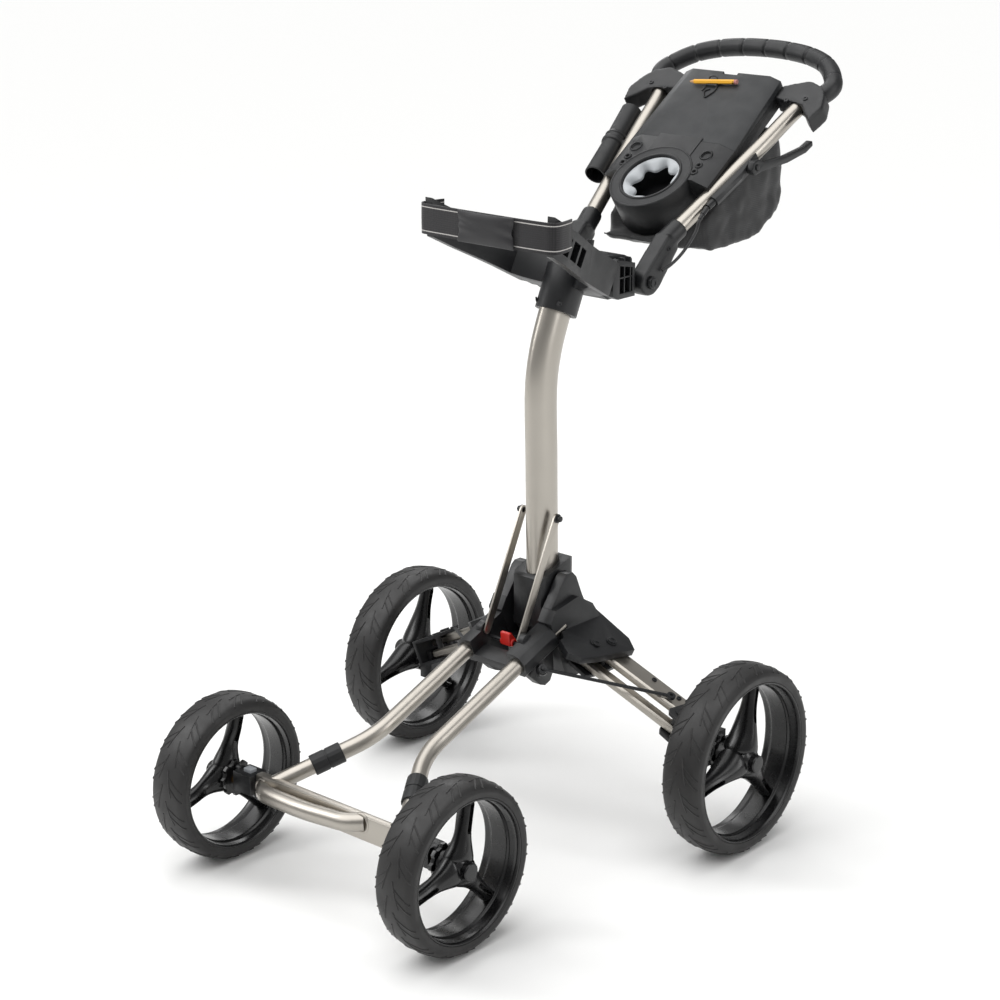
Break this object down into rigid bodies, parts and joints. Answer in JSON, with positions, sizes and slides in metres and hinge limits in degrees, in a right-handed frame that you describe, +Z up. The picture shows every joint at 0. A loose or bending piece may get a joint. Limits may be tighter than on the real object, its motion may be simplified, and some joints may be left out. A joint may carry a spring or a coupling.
{
  "type": "golf push cart",
  "caption": "Folding four-wheel golf push cart with a bag cradle on a curved mast, a console with cup holder, hand brake, storage bag and a looped handle.",
  "frame": {"origin": "ground point under the middle of the bounding box", "axes": "+Z up, -Y the way the cart rolls, +X to the left of someone pushing it"},
  "size_m": [0.738, 1.1442, 1.1412],
  "materials": {
    "tyre": "matte foam tread",
    "rim_plastic": "satin gloss",
    "steel": "plain",
    "button_plastic": "matte",
    "silver_tube": "satin anodised",
    "sleeve_rubber": "matte",
    "black_nylon": "fine texture",
    "red_plastic": "gloss",
    "black_steel": "satin black",
    "patch": "smooth",
    "webbing": "woven",
    "grip_rubber": "soft foam",
    "console_plastic": "fine texture",
    "lid_plastic": "fine texture",
    "insert_rubber": "matte",
    "bag_cloth": "woven",
    "cable": "smooth",
    "pencil_paint": "painted"
  },
  "bodies": {
    "base": {"base_bracket": "black_nylon", "fork_left": "silver_tube", "fork_right": "silver_tube", "sleeve_left": "sleeve_rubber", "sleeve_right": "sleeve_rubber", "crossbar": "silver_tube", "axle_block_left": "black_nylon", "axle_block_right": "black_nylon", "axle_front_left": "steel", "axle_front_right": "steel"},
    "slider": {"front_bracket": "black_nylon"},
    "latch": {"fold_latch": "red_plastic"},
    "mast": {"mast": "silver_tube", "mast_foot": "black_nylon", "mast_head": "black_nylon", "cradle_left": "black_nylon", "cradle_right": "black_nylon", "strap": "webbing", "strap_patch": "patch"},
    "handle": {"elbow_left": "black_nylon", "elbow_right": "black_nylon", "handle_tube_left": "silver_tube", "handle_tube_right": "silver_tube", "grip": "grip_rubber", "handle_clamp_left": "black_nylon", "handle_clamp_right": "black_nylon", "console_body": "console_plastic", "cup_insert": "insert_rubber", "umbrella_holder": "black_nylon", "brake_mount": "black_nylon", "brake_cable": "cable", "storage_bag": "bag_cloth"},
    "lid": {"console_lid": "lid_plastic", "pencil": "pencil_paint"},
    "brake_lever": {"brake_lever": "black_nylon"},
    "strut_left": {"strut_left": "silver_tube"},
    "arm_left": {"arm_left": "silver_tube"},
    "link_left": {"link_left": "silver_tube"},
    "carrier_left": {"carrier_left": "black_nylon", "axle_rear_left": "steel"},
    "rod_left": {"rod_left": "black_steel"},
    "wheel_front_left": {"tyre_front_left": "tyre", "rim_front_left": "rim_plastic"},
    "button_front_left": {"release_button_front_left": "button_plastic"},
    "wheel_rear_left": {"tyre_rear_left": "tyre", "rim_rear_left": "rim_plastic"},
    "button_rear_left": {"release_button_rear_left": "button_plastic"},
    "strut_right": {"strut_right": "silver_tube"},
    "arm_right": {"arm_right": "silver_tube"},
    "link_right": {"link_right": "silver_tube"},
    "carrier_right": {"carrier_right": "black_nylon", "axle_rear_right": "steel"},
    "rod_right": {"rod_right": "black_steel"},
    "wheel_front_right": {"tyre_front_right": "tyre", "rim_front_right": "rim_plastic"},
    "button_front_right": {"release_button_front_right": "button_plastic"},
    "wheel_rear_right": {"tyre_rear_right": "tyre", "rim_rear_right": "rim_plastic"},
    "button_rear_right": {"release_button_rear_right": "button_plastic"}
  },
  "joints": [
    {"name": "frame_fold", "type": "hinge", "parent": "base", "child": "mast", "pos_m": [0, 0.00143, 0.318], "axis": [1, 0, 0], "range_deg": [0, 60]},
    {"name": "bracket_slide", "type": "slide", "parent": "base", "child": "slider", "axis": [0, -0.9323, -0.3616], "range_m": [0, 0.1765]},
    {"name": "latch_press", "type": "hinge", "parent": "slider", "child": "latch", "pos_m": [0, -0.07257, 0.288], "axis": [1, 0, 0], "range_deg": [0, 18], "stiffness_Nm_per_rad": 0.4},
    {"name": "handle_fold", "type": "hinge", "parent": "mast", "child": "handle", "pos_m": [0, 0.14143, 0.823], "axis": [-1, 0, 0], "range_deg": [0, 105]},
    {"name": "lid_open", "type": "hinge", "parent": "handle", "child": "lid", "pos_m": [0, 0.32816, 1.00702], "axis": [1, 0, 0], "range_deg": [0, 75]},
    {"name": "brake_squeeze", "type": "hinge", "parent": "handle", "child": "brake_lever", "pos_m": [0.136, 0.33543, 0.977], "axis": [1, 0, 0], "range_deg": [0, 12], "stiffness_Nm_per_rad": 1.5},
    {"name": "strut_turn_left", "type": "hinge", "parent": "mast", "child": "strut_left", "pos_m": [-0.0335, -0.00157, 0.475], "axis": [1, 0, 0], "range_deg": [-70.6, 0]},
    {"name": "arm_swing_left", "type": "hinge", "parent": "base", "child": "arm_left", "pos_m": [-0.09801, 0.03963, 0.25711], "axis": [-0.4368, 0, 0.8996], "range_deg": [0, 66.2]},
    {"name": "link_swing_left", "type": "hinge", "parent": "base", "child": "link_left", "pos_m": [-0.08902, 0.01003, 0.26148], "axis": [-0.4368, 0, 0.8996], "range_deg": [0, 66.2]},
    {"name": "carrier_turn_left", "type": "hinge", "parent": "arm_left", "child": "carrier_left", "pos_m": [-0.2479, 0.06112, 0.18433], "axis": [-0.4368, 0, 0.8996], "range_deg": [-66.2, 0]},
    {"name": "rod_swing_left", "type": "hinge", "parent": "slider", "child": "rod_left", "pos_m": [-0.074, -0.07857, 0.264], "axis": [-0.595, -0.496, 0.6325], "range_deg": [-36, 0]},
    {"name": "wheel_spin_front_left", "type": "hinge", "parent": "base", "child": "wheel_front_left", "pos_m": [-0.228, -0.44607, 0.126], "axis": [1, 0, 0], "continuous": true},
    {"name": "release_press_front_left", "type": "slide", "parent": "base", "child": "button_front_left", "axis": [0, 0, -1], "range_m": [0, 0.0025], "stiffness_N_per_m": 400},
    {"name": "wheel_spin_rear_left", "type": "hinge", "parent": "carrier_left", "child": "wheel_rear_left", "pos_m": [-0.328, 0.06893, 0.146], "axis": [1, 0, 0], "continuous": true},
    {"name": "release_press_rear_left", "type": "slide", "parent": "carrier_left", "child": "button_rear_left", "axis": [0, -1, 0], "range_m": [0, 0.0025], "stiffness_N_per_m": 400},
    {"name": "strut_turn_right", "type": "hinge", "parent": "mast", "child": "strut_right", "pos_m": [0.0335, -0.00157, 0.475], "axis": [1, 0, 0], "range_deg": [-70.6, 0]},
    {"name": "arm_swing_right", "type": "hinge", "parent": "base", "child": "arm_right", "pos_m": [0.09801, 0.03963, 0.25711], "axis": [0.4368, 0, 0.8996], "range_deg": [-66.2, 0]},
    {"name": "link_swing_right", "type": "hinge", "parent": "base", "child": "link_right", "pos_m": [0.08902, 0.01003, 0.26148], "axis": [0.4368, 0, 0.8996], "range_deg": [-66.2, 0]},
    {"name": "carrier_turn_right", "type": "hinge", "parent": "arm_right", "child": "carrier_right", "pos_m": [0.2479, 0.06112, 0.18433], "axis": [0.4368, 0, 0.8996], "range_deg": [0, 66.2]},
    {"name": "rod_swing_right", "type": "hinge", "parent": "slider", "child": "rod_right", "pos_m": [0.074, -0.07857, 0.264], "axis": [0.595, -0.496, 0.6325], "range_deg": [0, 36]},
    {"name": "wheel_spin_front_right", "type": "hinge", "parent": "base", "child": "wheel_front_right", "pos_m": [0.228, -0.44607, 0.126], "axis": [1, 0, 0], "continuous": true},
    {"name": "release_press_front_right", "type": "slide", "parent": "base", "child": "button_front_right", "axis": [0, 0, -1], "range_m": [0, 0.0025], "stiffness_N_per_m": 400},
    {"name": "wheel_spin_rear_right", "type": "hinge", "parent": "carrier_right", "child": "wheel_rear_right", "pos_m": [0.328, 0.06893, 0.146], "axis": [1, 0, 0], "continuous": true},
    {"name": "release_press_rear_right", "type": "slide", "parent": "carrier_right", "child": "button_rear_right", "axis": [0, -1, 0], "range_m": [0, 0.0025], "stiffness_N_per_m": 400}
  ],
  "couplings": [
    {"joint": "bracket_slide", "follows": "frame_fold", "m_per_rad": 0.16796},
    {"joint": "strut_turn_left", "follows": "frame_fold", "ratio": -1.1722},
    {"joint": "arm_swing_left", "follows": "frame_fold", "ratio": 1.1},
    {"joint": "link_swing_left", "follows": "frame_fold", "ratio": 1.1},
    {"joint": "carrier_turn_left", "follows": "frame_fold", "ratio": -1.1},
    {"joint": "rod_swing_left", "follows": "frame_fold", "ratio": -0.59722},
    {"joint": "strut_turn_right", "follows": "frame_fold", "ratio": -1.1722},
    {"joint": "arm_swing_right", "follows": "frame_fold", "ratio": -1.1},
    {"joint": "link_swing_right", "follows": "frame_fold", "ratio": -1.1},
    {"joint": "carrier_turn_right", "follows": "frame_fold", "ratio": 1.1},
    {"joint": "rod_swing_right", "follows": "frame_fold", "ratio": 0.59722}
  ]
}
